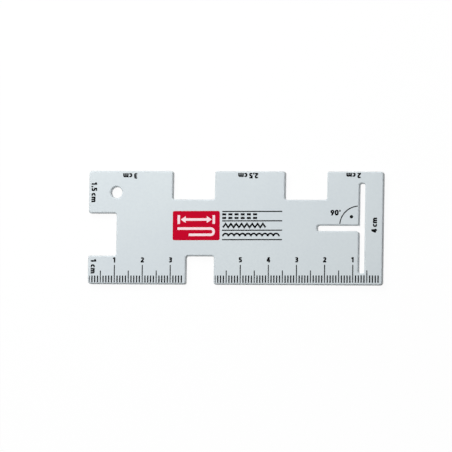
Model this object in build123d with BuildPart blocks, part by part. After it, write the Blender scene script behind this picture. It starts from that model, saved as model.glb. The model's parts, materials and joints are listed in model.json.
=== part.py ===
from build123d import *
import os

# Sewing gauge: one moulded plate whose tabs and blocks are the widths that it measures, with two
# millimetre scales, the width marks and a right-angle mark printed on its face.
# Millimetres. The origin is the middle of the back face. X runs along the plate, Y from its scales
# to its tabs, and Z out of the printed face.

# Widths that the steps measure
tab_3_cm = 30.0
tab_2_5_cm = 25.0
tab_2_cm = 20.0
top_gap = 15.0
block_1_5_cm = 15.0
block_1_cm = 10.0
side_gap = 15.0
left_scale_length = 35.0
bottom_gap = 10.0
gap_depth = 10.0

# Plate
plate_thickness = 3.0
plate_corner_radius = 1.0
step_corner_radius = 0.75
face_round = 0.5
back_round = 0.2

# Hanging hole, from the plate's left and top edges
hole_diameter = 4.0
hole_from_left = 9.85
hole_from_top = 7.6

# Marking slots: an upright one, and a cross one that runs into it at a right angle. The upper corner
# between them is a sharp right angle to measure with, and the lower one is well rounded.
slot_width = 2.0
slot_end_radius = 0.75
slot_mouth_radius = 1.1
upright_slot_length = 31.6
upright_slot_from_right = 7.5
cross_slot_length = 14.9

# Ink. The whole print sits a little to the left of the plate's middle and is turned by a small angle.
ink_thickness = 0.03
print_shift = -0.54
print_turn_degrees = 0.3

# Scales: one line for each graduation, with heights over the plate's lower edge
graduation = 1.0
lines_per_cm = 10
line_foot = 0.55
mm_line_top = 3.15
half_cm_line_top = 4.9
cm_line_top = 6.9
mm_line_width = 0.46
long_line_width = 0.35
figure_height = 1.85
figure_middle = 8.67

# Width marks: how far the letters' feet stand inside the edge, and how far a mark is off its block's middle
mark_height = 1.98
top_mark_inset = 0.62
left_mark_inset = 1.5
right_mark_inset = 1.54
mark_3_cm_right = 0.4
mark_1_5_cm_rise = 0.16
mark_1_cm_rise = 1.41
mark_4_cm_rise = 0.85

# Right-angle mark, from the corner where the slots meet
arc_radius = 6.8
arc_line_width = 0.37
dot_diameter = 1.2
dot_left = 2.68
dot_up = 3.05
angle_figure_left = 8.3
angle_figure_up = 4.5

# Red panel, from the middle of the print, and the pale pictogram in it: a width arrow over a folded hem
panel_length = 16.8
panel_height = 10.35
panel_corner_radius = 0.6
panel_left = 13.38
panel_up = 0.77
pictogram_length = 13.4
pictogram_height = 7.4
pictogram_line_width = 0.9
end_bar_height = 3.1
arrow_gap = 0.25
arrow_head_length = 1.8
arrow_head_height = 2.4
hem_drop = 2.2
hem_lap_length = 7.8

# Ruled block beside the panel, with a row of stitches in each of its three spaces
rules_from_panel = 0.83
rule_length = 21.4
rule_width = 0.4
rule_count = 4
stitch_line_width = 0.6
running_stitch_length = 1.45
running_stitch_width = 0.75
running_stitch_pitch = 2.2
running_row_pitch = 1.3
running_stitch_count = 6
zigzag_stitch_length = 0.95
zigzag_height = 1.3
zigzag_count = 16
scallop_radius = 1.0
scallop_count = 10

# Letters, as shares of the height of a figure: the pen, the gaps between letters and words, how far a
# comma hangs, and the width of each character's box
pen_share = 0.28
degree_pen_share = 0.12
letter_gap_share = 0.06
word_gap_share = 0.26
comma_drop_share = 0.06
box_width_shares = {
    "0": 0.7,
    "1": 0.6,
    "2": 0.64,
    "3": 0.68,
    "4": 0.68,
    "5": 0.64,
    "6": 0.7,
    "7": 0.62,
    "8": 0.7,
    "9": 0.7,
    "c": 0.6,
    "m": 1.0,
    ",": 0.24,
    "°": 0.34,
}
# Straight strokes of each character: the two ends of its middle line
straight_stroke_shares = {
    "0": [((0.14, 0.33), (0.14, 0.67)), ((0.56, 0.33), (0.56, 0.67))],
    "1": [((0.32, 0), (0.32, 1)), ((0.34, 0.94), (0.02, 0.72))],
    "2": [((0.466, 0.568), (0.08, 0.12)), ((0, 0.12), (0.63, 0.12))],
    "3": [((0.2, 0.52), (0.34, 0.52))],
    "4": [((0.46, 0), (0.46, 1)), ((0, 0.3), (0.68, 0.3)), ((0.4, 0.98), (0.1, 0.32))],
    "5": [((0.16, 0.46), (0.16, 1)), ((0.06, 0.88), (0.59, 0.88))],
    "6": [((0.17, 0.45), (0.52, 1.08))],
    "7": [((0.02, 0.88), (0.6, 0.88)), ((0.48, 0.88), (0.18, -0.06))],
    "9": [((0.53, 0.55), (0.18, -0.08))],
    "c": [((0.14, 0.31), (0.14, 0.42))],
    "m": [((0.14, 0), (0.14, 0.73)), ((0.5, 0), (0.5, 0.43)), ((0.86, 0), (0.86, 0.43))],
    ",": [((0.13, 0.1), (0.13, 0.3)), ((0.15, 0.14), (0.06, -0.06))],
}
# Round strokes: the middle and the radius in shares, then the angle where the stroke starts and its sweep
# in degrees
round_stroke_shares = {
    "0": [((0.35, 0.66), 0.21, 0, 180), ((0.35, 0.34), 0.21, 180, 180)],
    "2": [((0.32, 0.69), 0.19, 165, -205)],
    "3": [((0.34, 0.69), 0.19, 150, -240), ((0.34, 0.32), 0.2, 90, -240)],
    "5": [((0.31, 0.32), 0.2, 125, -275)],
    "6": [((0.35, 0.33), 0.21, 0, 180), ((0.35, 0.33), 0.21, 180, 180)],
    "8": [
        ((0.35, 0.71), 0.17, 0, 180),
        ((0.35, 0.71), 0.17, 180, 180),
        ((0.35, 0.33), 0.21, 0, 180),
        ((0.35, 0.33), 0.21, 180, 180),
    ],
    "9": [((0.35, 0.67), 0.21, 0, 180), ((0.35, 0.67), 0.21, 180, 180)],
    "c": [((0.34, 0.41), 0.2, 40, 140), ((0.34, 0.32), 0.2, 180, 140)],
    "m": [((0.32, 0.42), 0.18, 0, 180), ((0.68, 0.42), 0.18, 0, 180)],
    "°": [((0.17, 0.83), 0.11, 0, 180), ((0.17, 0.83), 0.11, 180, 180)],
}

# Worked out from the sizes above
plate_length = tab_3_cm + top_gap + tab_2_5_cm + top_gap + tab_2_cm
plate_width = block_1_cm + side_gap + block_1_5_cm
right_scale_length = plate_length - left_scale_length - bottom_gap
left = -plate_length / 2
right = plate_length / 2
bottom = -plate_width / 2
top = plate_width / 2
upright_slot_x = right - upright_slot_from_right
slot_corner_x = upright_slot_x - slot_width / 2
print_plane = Plane(Location((print_shift, 0, plate_thickness), (0, 0, print_turn_degrees)))


# Marking slots: one opening, with rounded ends
with BuildSketch() as slots:
    with Locations((upright_slot_x, 0)):
        Rectangle(slot_width, upright_slot_length)
        Rectangle(
            slot_width / 2 + cross_slot_length,
            slot_width,
            align=(Align.MAX, Align.CENTER),
        )
    # The nearest corner to the mouth is the mouth itself, and the next one is the sharp one over it
    mouth = (slot_corner_x, -slot_width / 2)
    fillet(slots.vertices().sort_by_distance(mouth)[2:], slot_end_radius)
    fillet(slots.vertices().sort_by_distance(mouth)[0], slot_mouth_radius)

# Gauge plate: the stepped outline, the slots and the hanging hole, with its edges rounded
with BuildPart() as gauge_plate:
    with BuildSketch() as outline:
        with BuildLine():
            Polyline(
                (left, bottom),
                (left + left_scale_length, bottom),
                (left + left_scale_length, bottom + gap_depth),
                (left + left_scale_length + bottom_gap, bottom + gap_depth),
                (left + left_scale_length + bottom_gap, bottom),
                (right, bottom),
                (right, top),
                (right - tab_2_cm, top),
                (right - tab_2_cm, top - gap_depth),
                (right - tab_2_cm - top_gap, top - gap_depth),
                (right - tab_2_cm - top_gap, top),
                (left + tab_3_cm + top_gap, top),
                (left + tab_3_cm + top_gap, top - gap_depth),
                (left + tab_3_cm, top - gap_depth),
                (left + tab_3_cm, top),
                (left, top),
                (left, top - block_1_5_cm),
                (left + gap_depth, top - block_1_5_cm),
                (left + gap_depth, bottom + block_1_cm),
                (left, bottom + block_1_cm),
                close=True,
            )
        make_face()
        fillet(outline.vertices().sort_by_distance((0, 0))[:-4], step_corner_radius)
        fillet(outline.vertices().sort_by_distance((0, 0))[-4:], plate_corner_radius)
        add(slots.sketch, mode=Mode.SUBTRACT)
        with Locations((left + hole_from_left, top - hole_from_top)):
            Circle(hole_diameter / 2, mode=Mode.SUBTRACT)
    extrude(amount=plate_thickness)
    fillet(gauge_plate.faces().sort_by(Axis.Z)[-1].edges(), face_round)
    fillet(gauge_plate.faces().sort_by(Axis.Z)[0].edges(), back_round)

# Ink lies on the flat of the face, and stops where the edges start to round
flat_face = gauge_plate.faces().sort_by(Axis.Z)[-1]


def lay_ink():
    """Gives the current sketch the thickness of ink, and cuts it off at the edge of the flat."""
    extrude(amount=ink_thickness)
    extrude(flat_face, amount=ink_thickness, mode=Mode.INTERSECT)


def glyph(character, height):
    """One character: its straight and round strokes, trimmed to its box."""
    pen = height * (degree_pen_share if character == "°" else pen_share)
    drop = height * (comma_drop_share if character == "," else 0)
    with BuildSketch(Plane.XY, mode=Mode.PRIVATE) as drawn:
        for start, end in straight_stroke_shares.get(character, []):
            with BuildLine():
                Line(Vector(start) * height, Vector(end) * height)
            trace(line_width=pen)
        for middle, radius, start_angle, sweep in round_stroke_shares.get(character, []):
            with BuildLine():
                CenterArc(Vector(middle) * height, radius * height, start_angle, sweep)
            trace(line_width=pen)
        with Locations((0, -drop)):
            Rectangle(
                box_width_shares[character] * height,
                drop + height,
                align=(Align.MIN, Align.MIN),
                mode=Mode.INTERSECT,
            )
    return drawn.sketch


def advance(character, height):
    """How far the next character stands from this one."""
    if character == " ":
        return word_gap_share * height
    return (box_width_shares[character] + letter_gap_share) * height


def lettering(text, height):
    """A line of characters, centred on its own middle."""
    length = sum(advance(character, height) for character in text) - letter_gap_share * height
    with BuildSketch(Plane.XY, mode=Mode.PRIVATE) as line:
        place = -length / 2
        for character in text:
            if character != " ":
                with Locations((place, -height / 2)):
                    add(glyph(character, height))
            place += advance(character, height)
    return line.sketch


# Scales: each counts from its own end of the plate towards the gap between them
def scale_lines(end, inward, length):
    """Graduation lines of one scale, longer at each half and whole centimetre."""
    with BuildPart() as lines:
        with BuildSketch(print_plane):
            for count in range(1, round(length / graduation)):
                line_top = mm_line_top
                line_width = mm_line_width
                if count % (lines_per_cm // 2) == 0:
                    line_top = half_cm_line_top
                    line_width = long_line_width
                if count % lines_per_cm == 0:
                    line_top = cm_line_top
                with Locations((end + inward * count * graduation, bottom + line_foot)):
                    Rectangle(line_width, line_top - line_foot, align=(Align.CENTER, Align.MIN))
        lay_ink()
    return lines


def scale_figures(end, inward, length):
    """A figure over each whole centimetre of one scale."""
    with BuildPart() as figures:
        with BuildSketch(print_plane):
            for count in range(lines_per_cm, round(length / graduation), lines_per_cm):
                with Locations((end + inward * count * graduation, bottom + figure_middle)):
                    add(lettering(str(count // lines_per_cm), figure_height))
        lay_ink()
    return figures


# Width marks: each stands in the middle of the tab or block that it names, with its feet to the edge
def width_mark(text, x, y, turn):
    with BuildPart() as mark:
        with BuildSketch(print_plane):
            with Locations((x, y)):
                add(lettering(text, mark_height), rotation=turn)
        lay_ink()
    return mark


top_mark_y = top - top_mark_inset - mark_height / 2
left_mark_x = left + left_mark_inset + mark_height / 2
right_mark_x = right - right_mark_inset - mark_height / 2
tab_2_5_cm_middle = left + tab_3_cm + top_gap + tab_2_5_cm / 2
marks = {
    "mark_3_cm": width_mark("3 cm", left + tab_3_cm / 2 + mark_3_cm_right, top_mark_y, 180),
    "mark_2_5_cm": width_mark("2,5 cm", tab_2_5_cm_middle, top_mark_y, 180),
    "mark_2_cm": width_mark("2 cm", right - tab_2_cm / 2, top_mark_y, 180),
    "mark_1_5_cm": width_mark("1,5 cm", left_mark_x, top - block_1_5_cm / 2 + mark_1_5_cm_rise, -90),
    "mark_1_cm": width_mark("1 cm", left_mark_x, bottom + block_1_cm / 2 + mark_1_cm_rise, -90),
    "mark_4_cm": width_mark("4 cm", right_mark_x, mark_4_cm_rise, 90),
}


# Right-angle mark: a quarter arc about the corner where the slots meet, its dot and its figure
slot_corner = print_plane.to_local_coords(Vector(slot_corner_x, slot_width / 2, plate_thickness))

with BuildPart() as right_angle_arc:
    with BuildSketch(print_plane):
        with BuildLine():
            CenterArc((slot_corner.X, slot_corner.Y), arc_radius, 90, 90)
        trace(line_width=arc_line_width)
    lay_ink()

with BuildPart() as right_angle_dot:
    with BuildSketch(print_plane):
        with Locations((slot_corner.X - dot_left, slot_corner.Y + dot_up)):
            Circle(dot_diameter / 2)
    lay_ink()

with BuildPart() as right_angle_figure:
    with BuildSketch(print_plane):
        with Locations((slot_corner.X - angle_figure_left, slot_corner.Y + angle_figure_up)):
            add(lettering("90°", mark_height))
    lay_ink()


# Pictogram: an arrow between two end bars, over an edge of cloth that is folded back under itself
with BuildSketch(Plane.XY) as pictogram:
    pen = pictogram_line_width
    arrow_y = pictogram_height / 2 - end_bar_height / 2
    hem_y = -pictogram_height / 2 + pen / 2 + hem_drop
    fold_x = pictogram_length / 2 - pen / 2 - hem_drop / 2
    for side in (-1, 1):
        bar_x = side * (pictogram_length / 2 - pen / 2)
        tip_x = side * (pictogram_length / 2 - pen - arrow_gap)
        head_x = tip_x - side * arrow_head_length
        with Locations((bar_x, arrow_y)):
            Rectangle(pen, end_bar_height)
        with BuildLine():
            Polyline(
                (tip_x, arrow_y),
                (head_x, arrow_y + arrow_head_height / 2),
                (head_x, arrow_y - arrow_head_height / 2),
                close=True,
            )
        make_face()
    with Locations((0, arrow_y)):
        Rectangle(pictogram_length - pen * 2 - arrow_head_length * 2, pen)
    with BuildLine():
        over = Line((-pictogram_length / 2, hem_y), (fold_x, hem_y))
        fold = CenterArc((fold_x, hem_y - hem_drop / 2), hem_drop / 2, 90, -180)
        Line(fold @ 1, (fold_x - hem_lap_length, hem_y - hem_drop))
    trace(line_width=pen)

with BuildPart() as red_panel:
    with BuildSketch(print_plane):
        with Locations((-panel_left, panel_up)):
            RectangleRounded(panel_length, panel_height, panel_corner_radius)
            add(pictogram.sketch, mode=Mode.SUBTRACT)
    lay_ink()

with BuildPart() as panel_pictogram:
    with BuildSketch(print_plane):
        with Locations((-panel_left, panel_up)):
            add(pictogram.sketch)
    lay_ink()


# Ruled block: as high as the panel, with a kind of stitch in each of its spaces
rules_left = -panel_left + panel_length / 2 + rules_from_panel
rule_pitch = (panel_height - rule_width) / (rule_count - 1)
top_rule_y = panel_up + panel_height / 2 - rule_width / 2
row_middles = [top_rule_y - rule_pitch / 2 - rule_pitch * row for row in range(rule_count - 1)]

with BuildPart() as rule_lines:
    with BuildSketch(print_plane):
        for rule in range(rule_count):
            with Locations((rules_left, top_rule_y - rule_pitch * rule)):
                Rectangle(rule_length, rule_width, align=(Align.MIN, Align.CENTER))
    lay_ink()

with BuildPart() as running_stitch_row:
    with BuildSketch(print_plane):
        for stitch in range(running_stitch_count):
            for side in (-1, 1):
                stitch_y = row_middles[0] + side * running_row_pitch / 2
                with Locations((rules_left + running_stitch_pitch * stitch, stitch_y)):
                    Rectangle(running_stitch_length, running_stitch_width, align=(Align.MIN, Align.CENTER))
    lay_ink()

with BuildPart() as zigzag_stitch_row:
    with BuildSketch(print_plane):
        with BuildLine():
            Polyline(
                [
                    (
                        rules_left + stitch_line_width / 2 + zigzag_stitch_length * turn,
                        row_middles[1] + (turn % 2 - 1 / 2) * zigzag_height,
                    )
                    for turn in range(zigzag_count + 1)
                ]
            )
        trace(line_width=stitch_line_width)
    lay_ink()

with BuildPart() as scallop_stitch_row:
    with BuildSketch(print_plane):
        for scallop in range(scallop_count):
            scallop_x = rules_left + scallop_radius + stitch_line_width / 2 + scallop_radius * 2 * scallop
            with BuildLine():
                CenterArc((scallop_x, row_middles[2] - scallop_radius / 2), scallop_radius, 0, 180)
            trace(line_width=stitch_line_width)
    lay_ink()


# Nodes, one file each
nodes = {
    "gauge_plate": gauge_plate,
    "left_scale_lines": scale_lines(left, 1, left_scale_length),
    "left_scale_figures": scale_figures(left, 1, left_scale_length),
    "right_scale_lines": scale_lines(right, -1, right_scale_length),
    "right_scale_figures": scale_figures(right, -1, right_scale_length),
    **marks,
    "right_angle_arc": right_angle_arc,
    "right_angle_dot": right_angle_dot,
    "right_angle_figure": right_angle_figure,
    "red_panel": red_panel,
    "panel_pictogram": panel_pictogram,
    "rule_lines": rule_lines,
    "running_stitch_row": running_stitch_row,
    "zigzag_stitch_row": zigzag_stitch_row,
    "scallop_stitch_row": scallop_stitch_row,
}
os.makedirs("parts", exist_ok=True)
for name, piece in nodes.items():
    piece.part.label = name
    export_step(piece.part, f"parts/{name}.step")
    print(name, len(piece.solids()), "solids", round(piece.part.volume, 4), "mm3")
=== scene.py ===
# %% [markdown]
# # A printed sewing gauge
# The gauge is one flat moulding of pale grey plastic, 105 mm by 40 mm and 3 mm thick. Its stepped
# outline measures hems and seams, and everything else on it is ink. The plate and each printed
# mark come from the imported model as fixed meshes, in metres, so this file never moves or reshapes
# them. What it adds is what a model without finishes lacks: the viewpoint, the light, and a
# surface for each thing that was moulded or printed.

# %% Load the model
import json
import math

import bpy
import numpy as np
from mathutils import Matrix, Vector


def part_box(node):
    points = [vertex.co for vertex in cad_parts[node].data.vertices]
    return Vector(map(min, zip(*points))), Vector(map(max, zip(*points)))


millimetre = 0.001

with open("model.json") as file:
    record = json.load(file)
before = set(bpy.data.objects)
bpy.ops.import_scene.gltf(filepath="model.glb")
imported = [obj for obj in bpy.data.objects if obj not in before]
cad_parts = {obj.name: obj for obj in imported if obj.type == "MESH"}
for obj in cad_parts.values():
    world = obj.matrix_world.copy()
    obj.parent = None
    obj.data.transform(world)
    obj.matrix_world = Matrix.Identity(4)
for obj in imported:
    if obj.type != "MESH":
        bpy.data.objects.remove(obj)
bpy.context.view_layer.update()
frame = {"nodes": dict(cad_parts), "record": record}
plate_low, plate_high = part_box("gauge_plate")
face_height = plate_high.z
print("nodes:", len(frame["nodes"]))
print("plate in mm:", [round(side / millimetre, 2) for side in plate_high - plate_low])

# %% [markdown]
# ## The camera
# The gauge is seen almost from straight above: its print is square to the picture, and yet the
# walls on its right and lower sides show as a thin dark band, half a millimetre wide for 3 mm of
# depth. So the camera stands well back with a long lens, and leans ten degrees towards the lower
# right. A nearer camera with a short lens would spread the two ends of the plate apart. The
# camera's own axes are worked out from the two angles, and a small roll sets the print level.

# %% Camera
lens_mm = 600
sensor_mm = 36
picture_width = 159.18 * millimetre
view_azimuth = math.radians(65.2)
view_elevation = math.radians(79.8)
view_roll = math.radians(0.91)
aim = Vector((-3.29 * millimetre, 0.6 * millimetre, face_height))

towards_camera = Vector((
    math.sin(view_azimuth) * math.cos(view_elevation),
    -math.cos(view_azimuth) * math.cos(view_elevation),
    math.sin(view_elevation),
))
plate_up = Vector((0, 1, 0))
camera_up = (plate_up - towards_camera * plate_up.dot(towards_camera)).normalized()
camera_right = camera_up.cross(towards_camera)
camera_axes = Matrix((camera_right, camera_up, towards_camera)).transposed()
camera_axes = camera_axes @ Matrix.Rotation(view_roll, 3, "Z")
camera_distance = picture_width * lens_mm / sensor_mm
camera_place = aim + towards_camera * camera_distance

camera = bpy.data.objects.new("camera", bpy.data.cameras.new("camera"))
bpy.context.scene.collection.objects.link(camera)
camera.data.lens = lens_mm
camera.data.sensor_width = sensor_mm
camera.data.clip_end = camera_distance * 2
camera.matrix_world = Matrix.Translation(camera_place) @ camera_axes.to_4x4()
bpy.context.scene.camera = camera
print("camera distance in m:", round(camera_distance, 3))

# %% [markdown]
# ## Colours and nodes
# A procedural finish is a graph of nodes, and most of writing one is adding a node, setting it
# and joining it up. One small function does all three, so each finish below reads as a list of
# steps. Colours are written the way a paint chart gives them, as sRGB hex values. The renderer
# works with linear light, so one function undoes the sRGB curve.
#
# Several sockets of a node can share one name, and those are told apart by their numbers. A Math
# node's values are inputs 0, 1 and 2. A Mix node's share and colours have the numbers named here.

# %% Helpers for materials
mix_share, first_colour, second_colour, mixed_colour = 0, 6, 7, 2


def linear(hex_colour):
    """The linear RGBA of an sRGB hex value: each channel is raised along the sRGB curve."""
    channels = np.array([int(hex_colour[i:i + 2], 16) for i in (1, 3, 5)]) / 255
    light = np.where(channels <= 0.04045, channels / 12.92, ((channels + 0.055) / 1.055) ** 2.4)
    return (*light.tolist(), 1.0)


def add_node(tree, kind, settings=None, links=None):
    """Adds a node, sets its properties and inputs, and joins outputs of others to its inputs."""
    node = tree.nodes.new(kind)
    for name, value in (settings or {}).items():
        if isinstance(name, str) and hasattr(node, name):
            setattr(node, name, value)
        else:
            node.inputs[name].default_value = value
    for name, output in (links or {}).items():
        tree.links.new(output, node.inputs[name])
    return node


def empty_material(name):
    """A material with no nodes at all, and its tree."""
    material = bpy.data.materials.new(name)
    material.use_nodes = True
    material.node_tree.nodes.clear()
    return material, material.node_tree


print("sRGB mid grey as linear light:", round(linear("#808080")[0], 3))

# %% [markdown]
# ## The floor
# The gauge lies on a white paper sweep, far larger than itself. It is made as a disc, which is
# worked out from two parameters: how far out, and how far round. The distance grows with the
# square of the first one, so the small faces lie under the gauge.

# %% Floor disc
floor_radius = 3.0
floor_gap = 0.02 * millimetre
floor_rings = 12
floor_spokes = 48


def disc_mesh(name, radius, rings, spokes):
    """A flat disc: radius times the square of the first parameter, turned by the second one."""
    share_out = np.linspace(0, 1, rings + 1)[1:]
    share_round = np.arange(spokes) / spokes
    out, around = np.meshgrid(share_out, share_round, indexing="ij")
    reach, angle = radius * out**2, 2 * np.pi * around
    across, along = reach * np.cos(angle), reach * np.sin(angle)
    points = np.stack([across, along, np.zeros_like(angle)], axis=-1)
    ring, spoke = np.meshgrid(np.arange(rings - 1), np.arange(spokes), indexing="ij")
    after = (spoke + 1) % spokes
    corners = [ring * spokes + spoke, (ring + 1) * spokes + spoke,
               (ring + 1) * spokes + after, ring * spokes + after]
    quads = np.stack(corners, axis=-1).reshape(-1, 4)
    middle = list(range(spokes))
    mesh = bpy.data.meshes.new(name)
    mesh.from_pydata(points.reshape(-1, 3).tolist(), [], [middle, *quads.tolist()])
    return mesh


floor = bpy.data.objects.new("floor", disc_mesh("floor", floor_radius, floor_rings, floor_spokes))
floor.location.z = plate_low.z - floor_gap
bpy.context.scene.collection.objects.link(floor)
print("floor faces:", len(floor.data.polygons))

# %% [markdown]
# The sweep burns out to plain white around the gauge, and the gauge throws hardly any shadow.
# Pouring light on until the floor clips would wash out the plate, so the floor is made to show
# white only where the camera, or a mirror-like reflection, looks at it. A small share of a white
# paper's true shading is kept, and that share carries the gauge's soft shadow. For the light that
# it throws back at the walls of the gauge, the sweep is a duller grey.

# %% White sweep, seen from above
white_colour = "#FFFFFF"
sweep_colour = "#A0A09E"
shown_white_share = 0.96
plain_white_strength = 1.0


def looked_at(tree):
    """1 for a camera, glossy or transmission ray, and 0 for the light that falls on things."""
    rays = add_node(tree, "ShaderNodeLightPath")
    mirrored = add_node(tree, "ShaderNodeMath", {"operation": "MAXIMUM"},
                        {0: rays.outputs["Is Glossy Ray"], 1: rays.outputs["Is Transmission Ray"]})
    shown = add_node(tree, "ShaderNodeMath", {"operation": "MAXIMUM"},
                     {0: rays.outputs["Is Camera Ray"], 1: mirrored.outputs[0]})
    return shown.outputs[0]


paper, tree = empty_material("white_sweep")
paper_seen = looked_at(tree)
shade = add_node(tree, "ShaderNodeMix",
                 {"data_type": "RGBA", first_colour: linear(sweep_colour),
                  second_colour: linear(white_colour)},
                 {mix_share: paper_seen})
lit = add_node(tree, "ShaderNodeBsdfDiffuse", None, {"Color": shade.outputs[mixed_colour]})
white = add_node(tree, "ShaderNodeEmission",
                 {"Color": linear(white_colour), "Strength": plain_white_strength})
white_share = add_node(tree, "ShaderNodeMath", {"operation": "MULTIPLY", 1: shown_white_share},
                       {0: paper_seen})
from_above = add_node(tree, "ShaderNodeMixShader", None,
                      {0: white_share.outputs[0], 1: lit.outputs[0], 2: white.outputs[0]})
print("white share of the floor:", shown_white_share)

# %% [markdown]
# From below the floor is clear, so the back of the gauge can be looked at too. The back lies
# almost on the floor, so the floor is also clear to any ray that starts a hair's breadth from it.
# Otherwise the back would stay black.

# %% White sweep, seen from below
hair_breadth = 0.1 * millimetre

clear = add_node(tree, "ShaderNodeBsdfTransparent")
side = add_node(tree, "ShaderNodeNewGeometry")
rays = add_node(tree, "ShaderNodeLightPath")
touching = add_node(tree, "ShaderNodeMath", {"operation": "LESS_THAN", 1: hair_breadth},
                    {0: rays.outputs["Ray Length"]})
let_through = add_node(tree, "ShaderNodeMath", {"operation": "MAXIMUM"},
                       {0: side.outputs["Backfacing"], 1: touching.outputs[0]})
both_sides = add_node(tree, "ShaderNodeMixShader", None,
                      {0: let_through.outputs[0], 1: from_above.outputs[0], 2: clear.outputs[0]})
add_node(tree, "ShaderNodeOutputMaterial", None, {"Surface": both_sides.outputs[0]})
floor.data.materials.append(paper)
print("nodes in the sweep's finish:", len(tree.nodes))

# %% [markdown]
# ## The light
# The face of the gauge is brightest at its upper left and falls off towards its lower right,
# while the walls on the right and below get about half as much light as the face. That is one
# broad lamp at the upper left, half a metre away so that the fall-off shows. The lamp is sized so
# that a colour on the face renders about as it is written.

# %% Lamp
lamp_azimuth = math.radians(-34)
lamp_elevation = math.radians(56)
lamp_distance = 0.5
lamp_side = 0.35
lamp_watts = 2.9

towards_lamp = Vector((
    math.sin(lamp_azimuth) * math.cos(lamp_elevation),
    math.cos(lamp_azimuth) * math.cos(lamp_elevation),
    math.sin(lamp_elevation),
))
lamp = bpy.data.objects.new("softbox", bpy.data.lights.new("softbox", "AREA"))
bpy.context.scene.collection.objects.link(lamp)
lamp.data.shape = "SQUARE"
lamp.data.size = lamp_side
lamp.data.energy = lamp_watts
lamp.location = towards_lamp * lamp_distance
lamp.rotation_mode = "QUATERNION"
lamp.rotation_quaternion = towards_lamp.to_track_quat("Z", "Y")
print("lamp at:", [round(c, 3) for c in lamp.location])

# %% [markdown]
# Weak light comes from all round as well, as from the walls of a studio. The stronger light from
# underneath reaches nothing but the back, for the views from below. Where the camera looks past
# the floor it sees plain white.

# %% Surroundings
surround_colour = "#FBFDFF"
surround_strength = 0.12
underneath_strength = 0.6

world = bpy.data.worlds.new("studio")
bpy.context.scene.world = world
world.use_nodes = True
tree = world.node_tree
tree.nodes.clear()
direction = add_node(tree, "ShaderNodeTexCoord")
height = add_node(tree, "ShaderNodeSeparateXYZ", None, {0: direction.outputs["Generated"]})
underneath = add_node(tree, "ShaderNodeMath", {"operation": "LESS_THAN", 1: 0.0},
                      {0: height.outputs["Z"]})
strength = add_node(tree, "ShaderNodeMath",
                    {"operation": "MULTIPLY_ADD", 1: underneath_strength - surround_strength,
                     2: surround_strength},
                    {0: underneath.outputs[0]})
around = add_node(tree, "ShaderNodeBackground", {"Color": linear(surround_colour)},
                  {"Strength": strength.outputs[0]})
backdrop = add_node(tree, "ShaderNodeBackground",
                    {"Color": linear(white_colour), "Strength": plain_white_strength})
seen = add_node(tree, "ShaderNodeMixShader", None,
                {0: looked_at(tree), 1: around.outputs[0], 2: backdrop.outputs[0]})
add_node(tree, "ShaderNodeOutputWorld", None, {"Surface": seen.outputs[0]})
bpy.context.scene.view_settings.view_transform = "Standard"
print("nodes in the surroundings:", len(tree.nodes))

# %% [markdown]
# ## Moulded plastic
# The plate is injection-moulded, most likely in polystyrene or ABS, and coloured right through, a
# pale grey with a trace of blue. Its mould was spark-eroded, which leaves a fine, even grain on
# the face and takes the mirror out of its shine. Three noise patterns give that, each as far
# apart as a real size in millimetres: broad pale clouds where the melt flowed, fine pigment
# specks, and the grain itself. The real grain is about 0.1 mm across, which is finer than this
# picture can show, so it is drawn at 0.3 mm.

# %% Plate patterns
cloud_spacing = 30.0 * millimetre
speck_spacing = 0.8 * millimetre
grain_spacing = 0.3 * millimetre
fine_detail = 3.0

plastic, tree = empty_material("moulded_styrene_pale_grey")
place = add_node(tree, "ShaderNodeTexCoord").outputs["Object"]
clouds = add_node(tree, "ShaderNodeTexNoise", {"Scale": 1 / cloud_spacing}, {"Vector": place})
specks = add_node(tree, "ShaderNodeTexNoise",
                  {"Scale": 1 / speck_spacing, "Detail": fine_detail}, {"Vector": place})
grain = add_node(tree, "ShaderNodeTexNoise",
                 {"Scale": 1 / grain_spacing, "Detail": fine_detail}, {"Vector": place})
spacings = cloud_spacing, speck_spacing, grain_spacing
print("patterns in mm:", [round(spacing / millimetre, 1) for spacing in spacings])

# %% [markdown]
# The walls and the rounded rims were finished by hand, so they are smoother, and handling
# polishes them further. Only the face looks straight up, so the upward part of a surface's
# direction tells the rims from it: 1 on the flat, and less where the plate rounds off.

# %% Plate colour
body_colours = "#CED6DA", "#D1D9DC"
speck_colour = "#BFC8CE"
worn_colour = "#E1E6E9"
most_speck_share = 0.16
most_worn_share = 0.25
cloud_range = {"From Min": 0.35, "From Max": 0.65}
speck_range = {"From Min": 0.3, "From Max": 0.7}
rim_range = {"From Min": 0.98, "From Max": 0.6}

surface = add_node(tree, "ShaderNodeNewGeometry")
axes = add_node(tree, "ShaderNodeSeparateXYZ", None, {0: surface.outputs["Normal"]})
upward = add_node(tree, "ShaderNodeMath", {"operation": "ABSOLUTE"}, {0: axes.outputs["Z"]})

cloud_share = add_node(tree, "ShaderNodeMapRange", cloud_range, {"Value": clouds.outputs["Fac"]})
speck_share = add_node(tree, "ShaderNodeMapRange", {**speck_range, "To Max": most_speck_share},
                       {"Value": specks.outputs["Fac"]})
worn_share = add_node(tree, "ShaderNodeMapRange", {**rim_range, "To Max": most_worn_share},
                      {"Value": upward.outputs[0]})
body = add_node(tree, "ShaderNodeMix",
                {"data_type": "RGBA", first_colour: linear(body_colours[0]),
                 second_colour: linear(body_colours[1])},
                {mix_share: cloud_share.outputs["Result"]})
speckled = add_node(tree, "ShaderNodeMix",
                    {"data_type": "RGBA", second_colour: linear(speck_colour)},
                    {mix_share: speck_share.outputs["Result"],
                     first_colour: body.outputs[mixed_colour]})
worn = add_node(tree, "ShaderNodeMix", {"data_type": "RGBA", second_colour: linear(worn_colour)},
                {mix_share: worn_share.outputs["Result"],
                 first_colour: speckled.outputs[mixed_colour]})
print("plate colours:", *body_colours, speck_colour, worn_colour)

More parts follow.
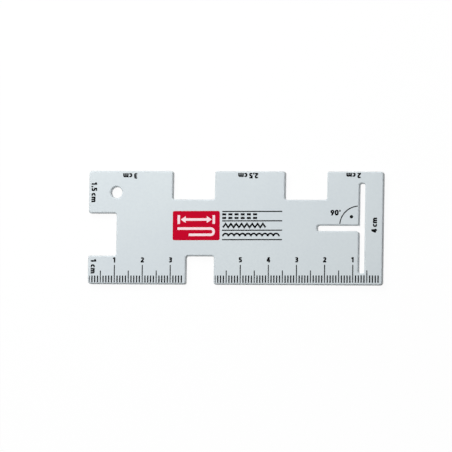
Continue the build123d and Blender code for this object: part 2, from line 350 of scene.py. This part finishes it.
# %% [markdown]
# The specks dull the face a little, and the rims shine a little more. The grain is a relief of a
# few hundredths of a millimetre, so a bump is enough for it.

# %% Plate shine and grain
plastic_ior = 1.5
plastic_specular_level = 0.4
face_roughness_range = {"To Min": 0.46, "To Max": 0.56}
rim_polish = -0.14
grain_height = 0.02 * millimetre
grain_strength = 0.7

face_roughness = add_node(tree, "ShaderNodeMapRange", {**speck_range, **face_roughness_range},
                          {"Value": specks.outputs["Fac"]})
polish = add_node(tree, "ShaderNodeMapRange", {**rim_range, "To Max": rim_polish},
                  {"Value": upward.outputs[0]})
roughness = add_node(tree, "ShaderNodeMath", {"operation": "ADD"},
                     {0: face_roughness.outputs["Result"], 1: polish.outputs["Result"]})
relief = add_node(tree, "ShaderNodeBump", {"Strength": grain_strength, "Distance": grain_height},
                  {"Height": grain.outputs["Fac"]})
shader = add_node(tree, "ShaderNodeBsdfPrincipled",
                  {"IOR": plastic_ior, "Specular IOR Level": plastic_specular_level},
                  {"Base Color": worn.outputs[mixed_colour], "Roughness": roughness.outputs[0],
                   "Normal": relief.outputs["Normal"]})
add_node(tree, "ShaderNodeOutputMaterial", None, {"Surface": shader.outputs[0]})
print("nodes in the plate's finish:", len(tree.nodes))

# %% [markdown]
# ## Printed ink
# The marks are pad-printed: a soft pad lifts a film of solvent ink from an etched plate and lays
# it down, a few hundredths of a millimetre thick. Such ink dries to a dull satin, with a slightly
# uneven density, and in places a pinhole lets the plastic through. All three inks share that
# build-up, so one function makes them and only the colours differ. Density varies over about 1.5
# mm, and the pinholes are drawn 0.15 mm apart, a little coarser than real ones.

# %% Ink materials
density_spacing = 1.5 * millimetre
pinhole_spacing = 0.15 * millimetre
ripple_spacing = 0.25 * millimetre
ripple_height = 0.01 * millimetre
ripple_strength = 0.2
most_pinhole_share = 0.6
density_range = {"From Min": 0.35, "From Max": 0.65}
pinhole_range = {"From Min": 0.7, "From Max": 0.78}
thin_ink_dullness = 0.08
ink_ior = 1.5
ink_specular_level = 0.02


def printed_ink(name, full_colour, thin_colour, pinhole_colour, satin):
    """Ink of two densities with a few pinholes, and a roughness that follows the density."""
    material, tree = empty_material(name)
    place = add_node(tree, "ShaderNodeTexCoord").outputs["Object"]
    density = add_node(tree, "ShaderNodeTexNoise", {"Scale": 1 / density_spacing},
                       {"Vector": place})
    pinholes = add_node(tree, "ShaderNodeTexNoise",
                        {"Scale": 1 / pinhole_spacing, "Detail": 1.0}, {"Vector": place})
    ripples = add_node(tree, "ShaderNodeTexNoise", {"Scale": 1 / ripple_spacing},
                       {"Vector": place})
    thin_share = add_node(tree, "ShaderNodeMapRange", density_range,
                          {"Value": density.outputs["Fac"]})
    pinhole_share = add_node(tree, "ShaderNodeMapRange",
                             {**pinhole_range, "To Max": most_pinhole_share},
                             {"Value": pinholes.outputs["Fac"]})
    film = add_node(tree, "ShaderNodeMix",
                    {"data_type": "RGBA", first_colour: linear(full_colour),
                     second_colour: linear(thin_colour)},
                    {mix_share: thin_share.outputs["Result"]})
    pitted = add_node(tree, "ShaderNodeMix",
                      {"data_type": "RGBA", second_colour: linear(pinhole_colour)},
                      {mix_share: pinhole_share.outputs["Result"],
                       first_colour: film.outputs[mixed_colour]})
    roughness = add_node(tree, "ShaderNodeMapRange",
                         {**density_range, "To Min": satin, "To Max": satin + thin_ink_dullness},
                         {"Value": density.outputs["Fac"]})
    relief = add_node(tree, "ShaderNodeBump",
                      {"Strength": ripple_strength, "Distance": ripple_height},
                      {"Height": ripples.outputs["Fac"]})
    shader = add_node(tree, "ShaderNodeBsdfPrincipled",
                      {"IOR": ink_ior, "Specular IOR Level": ink_specular_level},
                      {"Base Color": pitted.outputs[mixed_colour],
                       "Roughness": roughness.outputs["Result"],
                       "Normal": relief.outputs["Normal"]})
    add_node(tree, "ShaderNodeOutputMaterial", None, {"Surface": shader.outputs[0]})
    print(name, "has", len(tree.nodes), "nodes")
    return material


black_ink = printed_ink("pad_printed_ink_black", "#08090A", "#101214", "#4A4F53", 0.5)
red_ink = printed_ink("pad_printed_ink_red", "#C70127", "#C0032A", "#A8152F", 0.45)
white_ink = printed_ink("pad_printed_ink_white", "#FBE3E8", "#F6DBE2", "#E7B3BF", 0.5)

# %% [markdown]
# ## Put each finish on its pieces
# The model's record says which finish each of its pieces takes: plastic for the plate, and one of
# the three inks for each mark. So the finishes go on by the record, and no piece is forgotten.

# %% Finishes
finishes = {
    "plate_plastic": plastic,
    "black_ink": black_ink,
    "red_ink": red_ink,
    "white_ink": white_ink,
}
for part in frame["record"]["subparts"]:
    mesh = frame["nodes"][part["node"]].data
    mesh.materials.clear()
    mesh.materials.append(finishes[part["material_slot"]])
    print(part["node"], len(mesh.polygons), "faces,", mesh.materials[0].name)
